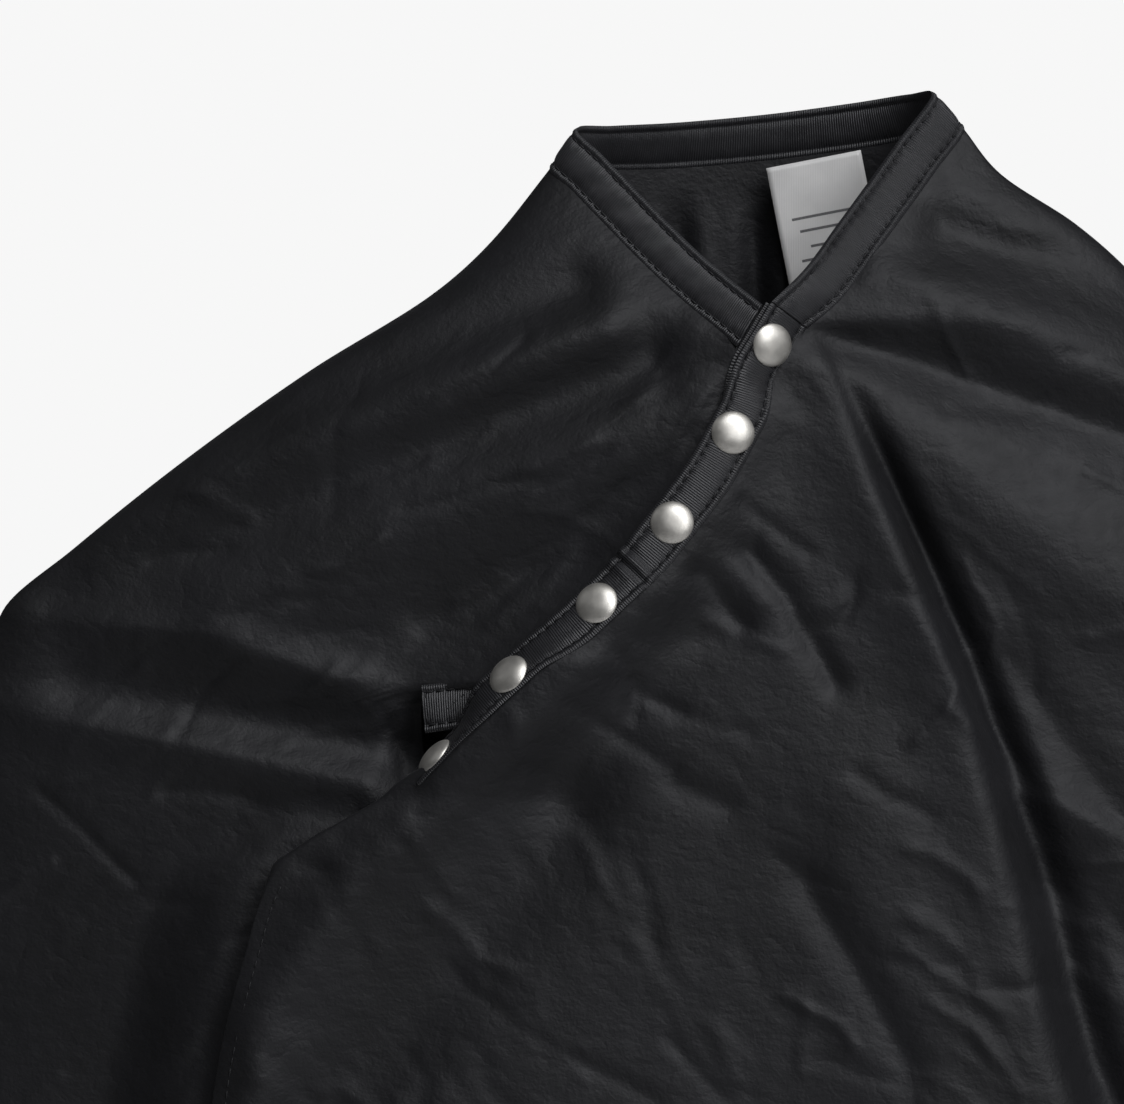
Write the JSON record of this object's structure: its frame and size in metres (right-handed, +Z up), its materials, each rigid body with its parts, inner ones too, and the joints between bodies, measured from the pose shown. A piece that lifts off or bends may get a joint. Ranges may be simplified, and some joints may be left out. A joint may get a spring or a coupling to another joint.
{
  "type": "barber cape",
  "caption": "Hair-cutting cape hung closed by its bound collar, with a lapped front and a curved row of press snaps on a tail of the collar band.",
  "frame": {"origin": "mount hanger_seat: the middle of the collar's opening, level with its shoulder points, where a hanger carries it", "axes": "+Z up; -Y is the front, with the snaps; +X is to the viewer's right when the front is seen"},
  "size_m": [0.636, 0.1671, 1.4317],
  "materials": {
    "cape_cloth": "crinkled black nylon, soft sheen",
    "band_twill": "charcoal ribbed binding, soft satin",
    "cap_nickel": "satin nickel plate on pressed brass",
    "snap_nickel": "bright nickel plate on pressed brass",
    "label_satin": "white satin tape"
  },
  "bodies": {
    "cape": {"back_panel": "cape_cloth", "left_front_panel": "cape_cloth", "right_side_panel": "cape_cloth", "collar_band": "band_twill", "under_snap_band": "band_twill", "snap_stud_1": "snap_nickel", "snap_stud_2": "snap_nickel", "snap_stud_3": "snap_nickel", "snap_stud_4": "snap_nickel", "snap_stud_5": "snap_nickel", "snap_stud_6": "snap_nickel", "snap_post_1": "snap_nickel", "snap_post_2": "snap_nickel", "snap_post_3": "snap_nickel", "snap_post_4": "snap_nickel", "snap_post_5": "snap_nickel", "snap_post_6": "snap_nickel"},
    "front_flap": {"right_front_flap": "cape_cloth", "upper_snap_band": "band_twill", "snap_cap_1": "cap_nickel", "snap_cap_2": "cap_nickel", "snap_cap_3": "cap_nickel", "snap_cap_4": "cap_nickel", "snap_cap_5": "cap_nickel", "snap_cap_6": "cap_nickel", "snap_socket_1": "snap_nickel", "snap_socket_2": "snap_nickel", "snap_socket_3": "snap_nickel", "snap_socket_4": "snap_nickel", "snap_socket_5": "snap_nickel", "snap_socket_6": "snap_nickel"},
    "care_label": {"care_label": "label_satin"}
  },
  "joints": [
    {"name": "front_flap", "type": "hinge", "parent": "cape", "child": "front_flap", "pos_m": [0.02162, -0.04228, -0.07536], "axis": [-0.3135, 0.0673, 0.9472], "range_deg": [0, 120]},
    {"name": "care_label", "type": "hinge", "parent": "cape", "child": "care_label", "pos_m": [0.0081, 0.02227, -0.01458], "axis": [-0.9816, 0, -0.1908], "range_deg": [-4, 44]}
  ]
}
